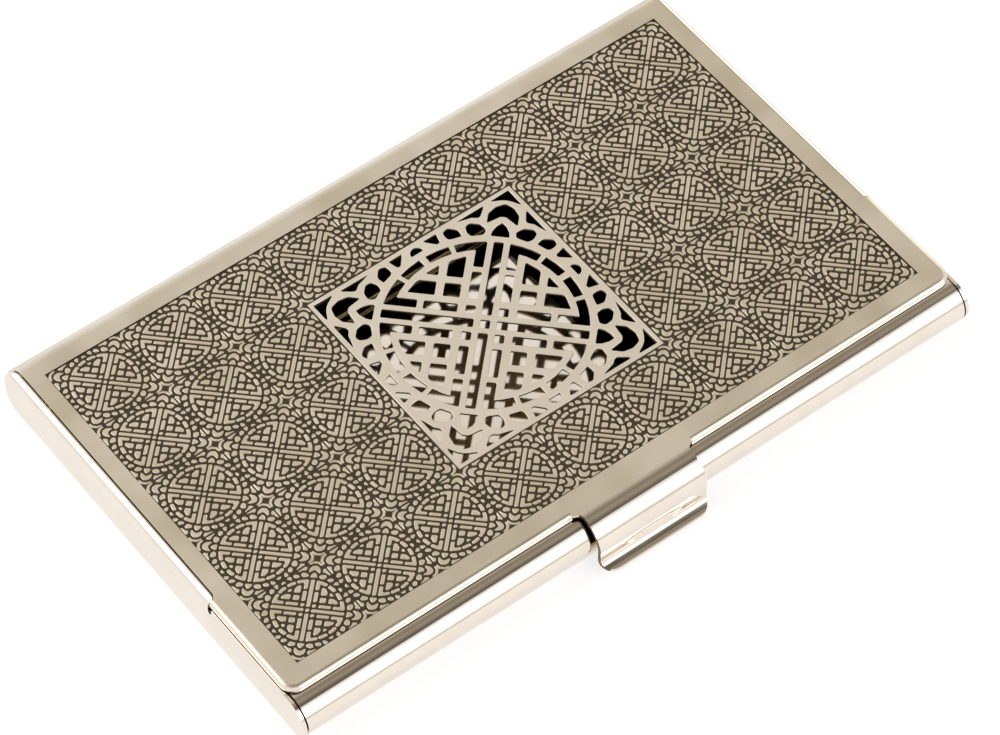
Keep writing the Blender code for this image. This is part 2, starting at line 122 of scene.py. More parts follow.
floor_size = 4.0
floor_shape = bmesh.new()
bmesh.ops.create_grid(floor_shape, x_segments=1, y_segments=1, size=floor_size / 2)
floor = new_object("white_floor", mesh_from(floor_shape, "white_floor"))

# White sweep paper: matt, and with a glow that only the camera and the metal see, which makes it white.
paper_glow_share = 0.66
paper = bpy.data.materials.new("white_sweep_paper")
paper.use_nodes = True
paper_nodes = paper.node_tree
paper_nodes.nodes.clear()
ray = add_node(paper_nodes, "ShaderNodeLightPath")
seen_clear = ray.outputs["Is Camera Ray"]
for ray_kind in ("Is Glossy Ray", "Is Transmission Ray"):
    seen_clear = add_node(paper_nodes, "ShaderNodeMath", {
        0: seen_clear, 1: ray.outputs[ray_kind]}, operation="MAXIMUM").outputs[0]
glow = add_node(paper_nodes, "ShaderNodeMath", {0: seen_clear, 1: paper_glow_share}, operation="MULTIPLY")
paper_matt = add_node(paper_nodes, "ShaderNodeBsdfDiffuse", {"Color": linear("#AEAEAE")})
paper_glow = add_node(paper_nodes, "ShaderNodeEmission", {
    "Color": linear("#FFFFFF"), "Strength": glow.outputs[0]})
paper_both = add_node(paper_nodes, "ShaderNodeAddShader", {
    0: paper_matt.outputs[0], 1: paper_glow.outputs[0]})
add_node(paper_nodes, "ShaderNodeOutputMaterial", {"Surface": paper_both.outputs[0]})
floor.data.materials.append(paper)

# The room: white all round up to the diffusers' upper edge, with one beige screen at the rear right, then
# a ceiling that is darkest in front. Each edge fades between two values of the direction looked in.
room_brightness = 1.0
room_edges = {
    "ceiling_depth": ("Y", -0.5, 0.6),
    "ceiling": ("Z", 0.79, 0.82),
    "screen_left": ("X", 0.40, 0.46),
    "screen_front": ("Y", 0.1, 0.3),
}
room = bpy.data.worlds.new("studio_room")
room.use_nodes = True
room_nodes = room.node_tree
room_nodes.nodes.clear()
looked_at = add_node(room_nodes, "ShaderNodeTexCoord")
direction = add_node(room_nodes, "ShaderNodeSeparateXYZ", {0: looked_at.outputs["Generated"]})
room_shares = {}
for edge, (axis_name, fade_start, fade_end) in room_edges.items():
    room_shares[edge] = add_node(room_nodes, "ShaderNodeMapRange", {
        "Value": direction.outputs[axis_name], "From Min": fade_start, "From Max": fade_end}).outputs[0]
walls = set_stops(add_node(room_nodes, "ShaderNodeValToRGB", {0: direction.outputs["Z"]}), [
    (0.0, "#B9A98C"), (0.03, "#CFC3AC"), (0.06, "#FFFFFF"), (0.80, "#FFFFFF")])
ceiling = set_stops(add_node(room_nodes, "ShaderNodeValToRGB", {0: room_shares["ceiling_depth"]}), [
    (0.0, "#655D52"), (0.11, "#716B62"), (0.30, "#A59C8E"), (0.53, "#8D8677"), (0.72, "#C1B9AD"),
    (0.9, "#E6DECD")])
screen_share = add_node(room_nodes, "ShaderNodeMath", {
    0: room_shares["screen_left"], 1: room_shares["screen_front"]}, operation="MULTIPLY")
walls_and_screen = add_node(room_nodes, "ShaderNodeMix", {
    "Factor": screen_share.outputs[0], "A": walls, "B": linear("#D6CBB8")}, data_type="RGBA")
room_colour = add_node(room_nodes, "ShaderNodeMix", {
    "Factor": room_shares["ceiling"], "A": walls_and_screen.outputs["Result"], "B": ceiling},
    data_type="RGBA")
room_light = add_node(room_nodes, "ShaderNodeBackground", {
    "Color": room_colour.outputs["Result"], "Strength": room_brightness})
add_node(room_nodes, "ShaderNodeOutputWorld", {"Surface": room_light.outputs[0]})
bpy.context.scene.world = room

softbox_distance = 1.0


def add_softbox(name, direction_to_it, width, height, power):
    """A rectangular cloth lamp that faces the case."""
    lamp = bpy.data.lights.new(name, "AREA")
    lamp.shape = "RECTANGLE"
    lamp.size = width
    lamp.size_y = height
    lamp.energy = power
    softbox = new_object(name, lamp)
    away = Vector(direction_to_it).normalized()
    softbox.location = away * softbox_distance
    softbox.rotation_euler = (-away).to_track_quat("-Z", "Y").to_euler()


add_softbox("rear_softbox", (0.80, 0.40, 0.36), width=0.5, height=0.5, power=1.0)
add_softbox("left_softbox", (-0.55, 0.50, 0.67), width=0.75, height=0.85, power=3.2)
add_softbox("right_softbox", (0.42, -0.76, 0.46), width=0.9, height=0.62, power=2.9)

# Tray
# The lower half is one sheet of nickel silver, 0.4 mm thick, pressed and bent into a floor, a fully
# rounded front, a rounded spine and two side walls rolled in as rails, then plated and mirror polished.
sheet = 0.0004
fit_gap = 0.0003
weld_overlap = 0.0002
arc_steps = 20

# Points within the seam's reach become one, cutting shapes overrun the metal, and outlines are in mm.
seam_reach = 0.000001
overrun = 0.001
drawing_scale = 1000.0

case_height = 0.0069
tile_side = 0.0097
tiles_along = 9
tiles_across = 5
side_margin = 0.00325
rear_margin = 0.0038
nose_margin = 0.00565
lid_front_margin = 0.00283
hinge_margin = 0.00196
nose_radius = 0.003
spine_radius = 0.003
spine_top_radius = 0.0022
foot_radius = 0.0006
rail_radius = 0.00095
rail_front_radius = 0.0008
rail_flare = 0.00028
rail_flare_length = 0.0022
rail_flare_past_hinge = 0.0009
lip_run = 0.00065
low_wall_height = 0.0059
low_wall_length = 0.0150
notch_radius = 0.0003
notch_depth = 0.0008
pin_radius = 0.0005
pin_clearance = 0.00002
pin_cover = 0.00012
hinge_drop = 0.0012

field_length = tiles_along * tile_side
half_width = field_length / 2 + side_margin
spine_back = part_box("tray")[1].y
field_back = spine_back - rear_margin
field_front = field_back - tiles_across * tile_side
field_middle = (field_back + field_front) / 2
nose_centre = field_front - nose_margin + nose_radius
spine_centre = spine_back - spine_radius
lid_front = field_front - lid_front_margin
low_wall_back = lid_front + low_wall_length
wall_inside = half_width - sheet
rail_inside = half_width - rail_radius
floor_half_width = half_width - foot_radius
hinge_y = field_back + hinge_margin
hinge_z = case_height - hinge_drop
rail_flare_front = hinge_y + rail_flare_past_hinge - rail_flare_length

lying = Matrix.Identity(4)
across_x = Matrix(((0, 0, 1, 0), (1, 0, 0, 0), (0, 1, 0, 0), (0, 0, 0, 1)))
across_y = Matrix(((1, 0, 0, 0), (0, 0, -1, 0), (0, 1, 0, 0), (0, 0, 0, 1)))


def oval_arc(centre, radii, start, end, steps=arc_steps):
    """Points along an oval's edge, with its angles in degrees."""
    points = []
    for step in range(steps + 1):
        angle = math.radians(start + (end - start) * step / steps)
        points.append((centre[0] + radii[0] * math.cos(angle), centre[1] + radii[1] * math.sin(angle)))
    return points


def arc(centre, radius, start, end, steps=arc_steps):
    """Points along a circle's arc, with its angles in degrees."""
    return oval_arc(centre, (radius, radius), start, end, steps)


def mirrored(points):
    """The same points on the other side of the first axis, in reverse order."""
    return [(-x, y) for x, y in reversed(points)]


def rectangle(left, right, low, high):
    """The four corners of a rectangle."""
    return [(left, low), (right, low), (right, high), (left, high)]


def band(outer, inner):
    """A closed outline of a bent sheet, from the points on its two faces."""
    return outer + list(reversed(inner))


def slab(name, outlines, plane, low, high, softened=0.0):
    """A flat outline, with any holes in it, given thickness, and its edges rounded off where asked."""
    curve = bpy.data.curves.new(name, "CURVE")
    curve.dimensions = "2D"
    curve.fill_mode = "BOTH"
    curve.extrude = ((high - low) / 2 - softened) * drawing_scale
    curve.bevel_depth = softened * drawing_scale
    curve.bevel_resolution = 1
    curve.offset = -softened * drawing_scale
    for outline in outlines:
        spline = curve.splines.new("POLY")
        spline.points.add(len(outline) - 1)
        for point, (first, second) in zip(spline.points, outline):
            point.co = (first * drawing_scale, second * drawing_scale, 0, 1)
        spline.use_cyclic_u = True
    mesh = taken_from(new_object(name, curve), name)
    shape = bmesh.new()
    shape.from_mesh(mesh)
    bmesh.ops.remove_doubles(shape, verts=shape.verts, dist=seam_reach * drawing_scale)
    placing = plane @ Matrix.Translation((0, 0, (low + high) / 2)) @ Matrix.Scale(1 / drawing_scale, 4)
    bmesh.ops.transform(shape, matrix=placing, verts=shape.verts)
    bmesh.ops.recalc_face_normals(shape, faces=shape.faces)
    shape.to_mesh(mesh)
    shape.free()
    return new_object(name, mesh)


def taken_from(worked, name):
    """The plain mesh that an object's modifiers or curve give. The object itself is removed."""
    bpy.context.view_layer.update()
    evaluated = worked.evaluated_get(bpy.context.evaluated_depsgraph_get())
    mesh = bpy.data.meshes.new_from_object(evaluated)
    mesh.name = name
    bpy.data.objects.remove(worked, do_unlink=True)
    return mesh


def rod(name, radius, half_length, y, z, softened=0.0):
    """A round rod along X with its ends rounded over where asked."""
    rings = [(-half_length, radius - softened), (-half_length + softened, radius),
             (half_length - softened, radius), (half_length, radius - softened)]
    if not softened:
        rings = rings[::3]
    loops = []
    for x, ring_radius in rings:
        loops.append([(x, y + u, z + w) for u, w in arc((0, 0), ring_radius, 0, 360, 3 * arc_steps)[:-1]])
    return swept(name, loops)


def swept(name, loops):
    """A closed body through a row of loops that all have the same number of points."""
    shape = bmesh.new()
    rows = [[shape.verts.new(point) for point in loop] for loop in loops]
    for row, next_row in zip(rows, rows[1:]):
        for place in range(len(row)):
            following = (place + 1) % len(row)
            shape.faces.new((row[place], row[following], next_row[following], next_row[place]))
    shape.faces.new(list(reversed(rows[0])))
    shape.faces.new(rows[-1])
    bmesh.ops.recalc_face_normals(shape, faces=shape.faces)
    return new_object(name, mesh_from(shape, name))


def shaped_with(piece, tool, operation):
    """Join another shape to a piece, or cut or trim the piece with it. The other shape is used up."""
    change = piece.modifiers.new(tool.name, "BOOLEAN")
    change.operation = operation
    change.object = tool
    change.solver = "EXACT"
    name = piece.name
    mesh = taken_from(piece, name)
    bpy.data.objects.remove(tool, do_unlink=True)
    shape = bmesh.new()
    shape.from_mesh(mesh)
    bmesh.ops.remove_doubles(shape, verts=shape.verts, dist=seam_reach)
    bmesh.ops.dissolve_degenerate(shape, edges=shape.edges, dist=seam_reach)
    shape.to_mesh(mesh)
    shape.free()
    return new_object(name, mesh)


def joined(piece, part):
    """One object from two closed bodies that meet inside the metal. The other object is used up."""
    shape = bmesh.new()
    shape.from_mesh(piece.data)
    shape.from_mesh(part.data)
    shape.to_mesh(piece.data)
    shape.free()
    bpy.data.objects.remove(part, do_unlink=True)
    return piece


def finished(piece, materials, smooth_below=35.0, keep_flats=True):
    """Shade a piece's bends smooth, keep its flat faces flat and give it its metals."""
    name = piece.name
    for face in piece.data.polygons:
        face.use_smooth = True
    piece.data.set_sharp_from_angle(angle=math.radians(smooth_below))
    if keep_flats:
        flats = piece.modifiers.new("flat_faces_stay_flat", "WEIGHTED_NORMAL")
        flats.keep_sharp = True
    mesh = taken_from(piece, name)
    mesh.materials.clear()
    for metal in materials:
        mesh.materials.append(metal)
    return new_object(name, mesh)


def grains(metal, grain_size, detail=2.0, drawn_out=1.0):
    """Values that vary over a metal in grains of a real size, drawn out along X where asked."""
    tree = metal.node_tree
    place = add_node(tree, "ShaderNodeTexCoord").outputs["Object"]
    if drawn_out > 1:
        stretch = add_node(tree, "ShaderNodeMapping", {"Vector": place, "Scale": (1 / drawn_out, 1, 1)})
        place = stretch.outputs[0]
    noise = add_node(tree, "ShaderNodeTexNoise", {"Vector": place, "Scale": 1 / grain_size, "Detail": detail})
    return noise.outputs[0]


def new_metal(name, tints, roughness=0.5, **grain):
    """A metal of one roughness that varies between its tints in grains of a real size."""
    metal = bpy.data.materials.new(name)
    metal.use_nodes = True
    shader = metal.node_tree.nodes["Principled BSDF"]
    shader.inputs["Metallic"].default_value = 1.0
    tint = set_stops(add_node(metal.node_tree, "ShaderNodeValToRGB", {0: grains(metal, **grain)}), tints)
    metal.node_tree.links.new(tint, shader.inputs["Base Color"])
    shader.inputs["Roughness"].default_value = roughness
    return metal


def vary_roughness(metal, low, high, span=(0.0, 1.0), **grain):
    """Let a metal's roughness vary from low to high over a span of its grains' values."""
    polish = add_node(metal.node_tree, "ShaderNodeMapRange", {
        "Value": grains(metal, **grain), "From Min": span[0], "From Max": span[1], "To Min": low,
        "To Max": high})
    shader = metal.node_tree.nodes["Principled BSDF"]
    metal.node_tree.links.new(polish.outputs[0], shader.inputs["Roughness"])


def emboss(metal, strength, depth, **grain):
    """Give a metal a shallow relief in grains of a real size."""
    relief = add_node(metal.node_tree, "ShaderNodeBump", {
        "Height": grains(metal, **grain), "Strength": strength, "Distance": depth})
    shader = metal.node_tree.nodes["Principled BSDF"]
    metal.node_tree.links.new(relief.outputs[0], shader.inputs["Normal"])


def make_mirror_nickel():
    """Nickel plate, mirror polished: near-white and warm, with a breath of haze and slow, shallow waves."""
    haze = {"grain_size": 0.0035, "detail": 3.0}
    waves = {"grain_size": 0.006, "detail": 1.0}
    metal = new_metal("mirror_polished_nickel_plate", [(0.3, "#E6DCD0"), (0.7, "#EBE2D7")], **haze)
    vary_roughness(metal, 0.045, 0.085, span=(0.35, 0.65), **haze)
    emboss(metal, strength=0.12, depth=0.00005, **waves)
    return metal


mirror_nickel = make_mirror_nickel()

nose = (nose_centre, nose_radius)
spine = (spine_centre, spine_radius)
channel_outer = [(nose_centre + lip_run, 2 * nose_radius)] + arc(nose, nose_radius, 90, 270, 3 * arc_steps)
channel_outer += arc(spine, spine_radius, 270, 360, 2 * arc_steps) + [(spine_back, hinge_z)]
channel_inner = [(nose_centre + lip_run, 2 * nose_radius - sheet)]
channel_inner += arc(nose, nose_radius - sheet, 90, 270, 3 * arc_steps)
channel_inner += arc(spine, spine_radius - sheet, 270, 360, 2 * arc_steps) + [(spine_back - sheet, hinge_z)]
tray = slab("polished_tray", [band(channel_outer, channel_inner)], across_x, -floor_half_width,
            floor_half_width)


def rail_edge(gap, start=90):
    """Inner edge of a rail's rear end, which narrows in a curve, or the lid's edge a gap beside it."""
    centre = (rail_inside + rail_flare - gap, rail_flare_front)
    return oval_arc(centre, (rail_flare, rail_flare_length), start, 180)


def side_wall(side):
    """One side wall with its foot and rail: a bent section trimmed by its side view and its plan."""
    rail = (rail_inside, case_height - rail_radius)
    foot = (floor_half_width, foot_radius)
    outer = [(floor_half_width - weld_overlap, 0)] + arc(foot, foot_radius, 270, 360)
    outer += arc(rail, rail_radius, 0, 90)
    inner = [(floor_half_width - weld_overlap, sheet)] + arc(foot, foot_radius - sheet, 270, 360)
    inner += arc(rail, rail_radius - sheet, 0, 90)
    section = [(side * x, z) for x, z in band(outer, inner)]
    wall = slab("side_wall", [section], across_y, -spine_back - overrun, spine_back + overrun)

    notch = (low_wall_back - notch_radius, low_wall_height - notch_depth + notch_radius)
    low_angle = 180 - math.degrees(math.asin((low_wall_height - nose_radius) / nose_radius))
    profile = arc(nose, nose_radius, 270, low_angle, 3 * arc_steps)
    profile += [(low_wall_back - 2 * notch_radius, low_wall_height)] + arc(notch, notch_radius, 180, 360)
    profile += [(low_wall_back, case_height + overrun)]
    profile += [(spine_back - spine_top_radius, case_height + overrun)]
    profile += arc((spine_back - spine_top_radius, case_height - spine_top_radius), spine_top_radius, 90, 0)
    profile += arc(spine, spine_radius, 0, -90, 2 * arc_steps)
    reach = sorted((side * (floor_half_width - overrun), side * (half_width + overrun)))
    wall = shaped_with(wall, slab("side_view", [profile], across_x, *reach), "INTERSECT")

    roll_in = wall_inside - rail_inside
    outside = half_width + overrun
    top_plan = [(outside, -spine_back - overrun), (outside, spine_back + overrun)]
    top_plan += [(rail_inside + rail_flare, spine_back + overrun)] + rail_edge(0)
    rail_front = (wall_inside, low_wall_back + rail_front_radius)
    top_plan += oval_arc(rail_front, (roll_in, rail_front_radius), 180, 270)
    top_plan += [(wall_inside, -spine_back - overrun)]
    foot_front = nose_centre + weld_overlap
    foot_back = spine_centre - weld_overlap
    foot_plan = [(outside, -spine_back - overrun), (outside, spine_back + overrun)]
    foot_plan += [(wall_inside, spine_back + overrun), (wall_inside, foot_back)]
    foot_plan += [(floor_half_width - overrun, foot_back), (floor_half_width - overrun, foot_front)]
    foot_plan += [(wall_inside, foot_front), (wall_inside, -spine_back - overrun)]
    plan = slab("top_plan", [[(side * x, y) for x, y in top_plan]], lying, nose_radius, case_height + overrun)
    foot_part = slab("foot_plan", [[(side * x, y) for x, y in foot_plan]], lying, -overrun,
                     nose_radius + weld_overlap)
    return shaped_with(wall, shaped_with(plan, foot_part, "UNION"), "INTERSECT")


for side in (1, -1):
    tray = shaped_with(tray, side_wall(side), "UNION")
pin_hole = rod("pin_hole", pin_radius + pin_clearance, half_width - pin_cover, hinge_y, hinge_z)
tray = shaped_with(tray, pin_hole, "DIFFERENCE")
tray = finished(tray, [mirror_nickel])
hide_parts("tray")
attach(tray, "tray_body")

# Hinge pin, card spring and its clips
# A straight steel wire, plated like the tray, carries the lid's rolled eye. A bent spring-steel wire lifts
# the cards, its feet held by two small saddles stamped from steel strip and spot-welded to the floor.
pin_inset = 1.5 * pin_cover
pin_end_round = 0.0001
wire_radius = 0.0004
wire_half_span = 0.030
wire_reach = 0.0083
wire_foot_length = 0.006
wire_foot_margin = 0.0015
wire_floor_gap = 0.0001
wire_rise = 0.00045
wire_corner_radius = 0.0015
wire_corner_steps = 12
wire_ring_points = 24
wire_foot_y = field_back - wire_foot_margin
wire_foot_z = sheet + wire_floor_gap + wire_radius
clip_width = 0.004
clip_foot = 0.0014
clip_play = 0.0001
clip_floor_gap = 0.00005


def make_drawn_steel():
    """Spring-steel wire, drawn: grey with a little straw, and fine draw lines along the wire."""
    draw_lines = {"grain_size": 0.00006, "drawn_out": 50}
    metal = new_metal("drawn_spring_steel", [(0.3, "#6F6449"), (0.7, "#85795B")], **draw_lines)
    vary_roughness(metal, 0.10, 0.17, **draw_lines)
    return metal


drawn_steel = make_drawn_steel()

pin = rod("hinge_wire", pin_radius, half_width - pin_inset, hinge_y, hinge_z, pin_end_round)
pin = finished(pin, [mirror_nickel])
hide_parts("hinge_pin")
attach(pin, "tray_body")


def wire_route():
    """Centre line of the spring wire from one foot over its cross bar to the other foot."""
    bar_y = wire_foot_y - wire_reach
    radius = wire_corner_radius
    half = [(wire_half_span + wire_foot_length, wire_foot_y)]
    half += arc((wire_half_span + radius, wire_foot_y - radius), radius, 90, 180, wire_corner_steps)
    half += arc((wire_half_span - radius, bar_y + radius), radius, 0, -90, wire_corner_steps)
    lifts = [wire_foot_z + wire_rise * (wire_foot_y - y) / wire_reach for x, y in half]
    right = [(x, y, z) for (x, y), z in zip(half, lifts)]
    return right + [(-x, y, z) for x, y, z in reversed(right)]


def new_tree(name, inputs, output):
    """A geometry node tree with named inputs, each of its kind, and the node that hands them on."""
    tree = bpy.data.node_groups.new(name, "GeometryNodeTree")
    for input_name, kind in inputs.items():
        tree.interface.new_socket(input_name, in_out="INPUT", socket_type="NodeSocket" + kind)
    tree.interface.new_socket(output, in_out="OUTPUT", socket_type="NodeSocketGeometry")
    return tree, add_node(tree, "NodeGroupInput")


def end_tree(tree, geometry, metal):
    """End a tree in one real mesh with its metal."""
    real = add_node(tree, "GeometryNodeRealizeInstances", {0: geometry})
    dressed = add_node(tree, "GeometryNodeSetMaterial", {0: real.outputs[0], "Material": metal})
    add_node(tree, "NodeGroupOutput", {0: dressed.outputs[0]})


def wire_tree():
    """Geometry nodes that draw a round wire of a given radius along a path."""
    tree, given = new_tree("drawn_wire", {
        "Path": "Geometry", "Wire radius": "Float", "Metal": "Material"}, "Wire")
    line = add_node(tree, "GeometryNodeMeshToCurve", {0: given.outputs["Path"]})
    ring = add_node(tree, "GeometryNodeCurvePrimitiveCircle", {
        "Resolution": wire_ring_points, "Radius": given.outputs["Wire radius"]})
    drawn = add_node(tree, "GeometryNodeCurveToMesh", {
        "Curve": line.outputs[0], "Profile Curve": ring.outputs[0], "Fill Caps": True})
    smooth = add_node(tree, "GeometryNodeSetShadeSmooth", {0: drawn.outputs[0]})
    end_tree(tree, smooth.outputs[0], given.outputs["Metal"])
    return tree


def grown(name, mesh, tree, values):
    """Run a node tree on a mesh, with its named inputs set, and return the result as a plain object."""
    start = new_object(name, mesh)
    nodes = start.modifiers.new(tree.name, "NODES")
    nodes.node_group = tree
    for socket in tree.interface.items_tree:
        if socket.item_type == "SOCKET" and socket.name in values:
            nodes[socket.identifier] = values[socket.name]
    return new_object(name, taken_from(start, name))


route = wire_route()
path_mesh = bpy.data.meshes.new("wire_path")
path_mesh.from_pydata(route, [(place, place + 1) for place in range(len(route) - 1)], [])
spring = grown("bent_spring_wire", path_mesh, wire_tree(), {"Wire radius": wire_radius, "Metal": drawn_steel})
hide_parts("card_spring")
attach(spring, "spring_body")

clip_inner_radius = wire_radius + clip_play
clip_outer_radius = clip_inner_radius + sheet
clip_low = sheet + clip_floor_gap
clip_high = clip_low + sheet
clip_end = clip_outer_radius + clip_foot
clip_centre = (wire_foot_y, wire_foot_z)
clip_under = [(wire_foot_y + clip_end, clip_low), (wire_foot_y + clip_inner_radius, clip_low)]
clip_under += arc(clip_centre, clip_inner_radius, 0, 180)
clip_under += [(wire_foot_y - clip_inner_radius, clip_low), (wire_foot_y - clip_end, clip_low)]
clip_over = [(wire_foot_y + clip_end, clip_high), (wire_foot_y + clip_outer_radius, clip_high)]
clip_over += arc(clip_centre, clip_outer_radius, 0, 180)[1:-1]
clip_over += [(wire_foot_y - clip_outer_radius, clip_high), (wire_foot_y - clip_end, clip_high)]
for clip_name, side in (("spring_clip_left", -1), ("spring_clip_right", 1)):
    middle = side * (wire_half_span + (wire_corner_radius + wire_foot_length) / 2)
    clip = slab(clip_name + "_saddle", [band(clip_over, clip_under)], across_x, middle - clip_width / 2,
                middle + clip_width / 2)
    clip = finished(clip, [drawn_steel])
    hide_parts(clip_name)
    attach(clip, "tray_body")

# Lid shell
# The upper half is a second sheet of nickel silver with a sunk shelf for the ornament plate. Its face, the
# shoulders of its turned-down edges and the top of its rolled hinge eye are satin. The edges below the
# shoulders and the thumb tab are mirror polished like the tray. Its underside is left dull and is coloured
# dark as painted shade for the unlit inside of the case.
seat_gap = 0.00005
inlay_thickness = 0.0003
inlay_sink = 0.0001
window_margin = 0.0005
lid_top = case_height
inlay_top = lid_top - inlay_sink
lid_under = lid_top - sheet
ear_inset = 0.0002
ear_half_width = half_width - ear_inset
left_rail_gap = 0.00018
right_rail_gap = 0.00002
narrow_half_width = rail_inside - left_rail_gap
ear_gap = 0.00006
ear_back = low_wall_back - ear_gap
ear_arc_end = 240.0
lid_corner_radius = 0.0018
lid_corner_steps = 15
lid_bend_radius = 0.0006
edge_depth = 0.0008
shelf_top = inlay_top - inlay_thickness - seat_gap
fret_side = 3 * tile_side
tab_width = 0.0151
tab_half_width = tab_width / 2
tab_root_radius = 0.0009
tab_gap = 0.0007
tab_bend_radius = 0.0036
tab_flick_radius = 0.0009
tab_lip_slope = 28.0
tab_drop = 0.0059
tab_lip_straight = 0.0004
tab_curl_radius = 0.0012
tab_corner_radius = 0.0019
eye_wrap_angle = 255.0


def make_sheared_edge():
    """Nickel plate over a sheared edge: olive-brown and dull beside the polished faces."""
    tear_size = 0.0003
    return new_metal("plated_sheared_edge", [(0.3, "#574C38"), (0.7, "#7A6D54")], 0.34,
                     grain_size=tear_size)


def make_shaded_underside():
    """Nickel silver left as pressed under the lid: dull and a little blotched by the plating, and coloured
    dark as painted shade for the unlit inside of the case.
    """
    blotch_size = 0.004
    return new_metal("underside_painted_shade", [(0.35, "#2F281F"), (0.65, "#383025")], 0.42,
                     grain_size=blotch_size, detail=3.0)


def make_satin_nickel():
    """Nickel plate, satin: finely blasted, warm grey-beige, with soft clouds where the blasting varies."""
    cloud_size = 0.009
    grit_size = 0.00012
    metal = new_metal("satin_nickel_plate", [(0.32, "#CBC0AB"), (0.68, "#E0D8CA")], grain_size=cloud_size)
    vary_roughness(metal, 0.26, 0.40, grain_size=grit_size)
    emboss(metal, strength=0.25, depth=0.00001, grain_size=grit_size)
    return metal


satin_nickel = make_satin_nickel()
sheared_edge = make_sheared_edge()
shaded_underside = make_shaded_underside()

lid_corner = (ear_half_width - lid_corner_radius, lid_front + lid_corner_radius)


def lid_plan():
    """Edge of the lid's flat sheet: short of the bends at the front and ears, full between the rails."""
    bent_half = ear_half_width - lid_bend_radius
    flat_end = 180 - math.degrees(math.asin((hinge_y - fit_gap - rail_flare_front) / rail_flare_length))
    halves = []
    for rail_gap in (right_rail_gap, left_rail_gap):
        half = rail_edge(rail_gap, flat_end)
        half += oval_arc((ear_half_width, ear_back + rail_front_radius),
                         (ear_half_width - rail_inside + rail_gap, rail_front_radius), 180, ear_arc_end)
        half += [(bent_half, ear_back)]
        halves.append(half + arc(lid_corner, lid_corner_radius - lid_bend_radius, 0, -90))
    return halves[0] + mirrored(halves[1])


seat_x = field_length / 2 + seat_gap
seat = rectangle(-seat_x, seat_x, field_front - seat_gap, field_back + seat_gap)
lid = slab("lid_sheet", [lid_plan(), seat], lying, lid_under, lid_top)
shelf_x = field_length / 2 + sheet
window_x = fret_side / 2 - window_margin
shelf_edge = rectangle(-shelf_x, shelf_x, field_front - sheet, field_back + sheet)
window = rectangle(-window_x, window_x, field_middle - window_x, field_middle + window_x)
shelf = slab("inlay_shelf", [shelf_edge, window], lying, shelf_top - sheet, shelf_top)
seat_wall = slab("seat_wall", [shelf_edge, seat], lying, shelf_top - weld_overlap, lid_under + weld_overlap)
lid = shaped_with(lid, shelf, "UNION")
lid = shaped_with(lid, seat_wall, "UNION")

# The tongue that runs into the flat sheet and ties a bent edge to it: first its top, then its underside.
tongue = rectangle(0, weld_overlap, lid_top - sheet / 4, lid_under + sheet / 4)


def turned_edge(side):
    """The lid's edge bent down round a small radius, from the relief beside the tab to the ear's end."""
    places = arc(lid_corner, lid_corner_radius, -90, 0, lid_corner_steps)
    outs = arc((0, 0), 1, -90, 0, lid_corner_steps)
    path = [((tab_half_width + tab_root_radius, lid_front), (0, -1))]
    path += zip(places, outs)
    path.append(((ear_half_width, ear_back), (1, 0)))
    bend = (lid_bend_radius, lid_top - lid_bend_radius)
    section = [(0, lid_top - edge_depth)] + arc(bend, lid_bend_radius, 180, 90, arc_steps // 2)
    section += [(lid_bend_radius + along, height) for along, height in tongue]
    section += arc(bend, lid_bend_radius - sheet, 90, 180, arc_steps // 2) + [(sheet, lid_top - edge_depth)]
    loops = []
    for (x, y), (out_x, out_y) in path:
        loops.append([(side * (x - inset * out_x), y - inset * out_y, z) for inset, z in section])
    return swept("turned_edge", loops)


for side in (1, -1):
    lid = joined(lid, turned_edge(side))


# The thumb tab: bent down over the rounded front, with a shallow groove pressed across it. Its lip is
# flicked out and curls level at its end.
def tab_faces():
    """Front and back face of the tab in section, as matching rows of points from the lid to the lip."""
    face = nose_centre - nose_radius - tab_gap - sheet
    bend = (face + tab_bend_radius, lid_top - tab_bend_radius)
    flick = (face - tab_flick_radius, lid_top - tab_drop + tab_flick_radius)
    slope = math.radians(tab_lip_slope)
    flat_steps = 8
    straight_steps = 12
    faces = []
    for inwards, tongue_face in ((0.0, tongue[1::-1]), (sheet, tongue[2:])):
        row = [(lid_front + lid_bend_radius + along, height) for along, height in tongue_face]
        for step in range(flat_steps + 1):
            row.append((lid_front + lid_bend_radius * (1 - step / flat_steps), lid_top - inwards))
        row += arc(bend, tab_bend_radius - inwards, 90, 180, 3 * arc_steps)
        for step in range(1, straight_steps):
            row.append((face + inwards, bend[1] + (flick[1] - bend[1]) * step / straight_steps))
        row += arc(flick, tab_flick_radius + inwards, 0, tab_lip_slope - 90, 2 * arc_steps)
        curl_start = (row[-1][0] - math.cos(slope) * tab_lip_straight,
                      row[-1][1] - math.sin(slope) * tab_lip_straight)
        curl_radius = tab_curl_radius + inwards
        curl = (curl_start[0] - math.sin(slope) * curl_radius, curl_start[1] + math.cos(slope) * curl_radius)
        row += arc(curl, curl_radius, tab_lip_slope - 90, -90, arc_steps // 2)
        faces.append(row)
    return faces


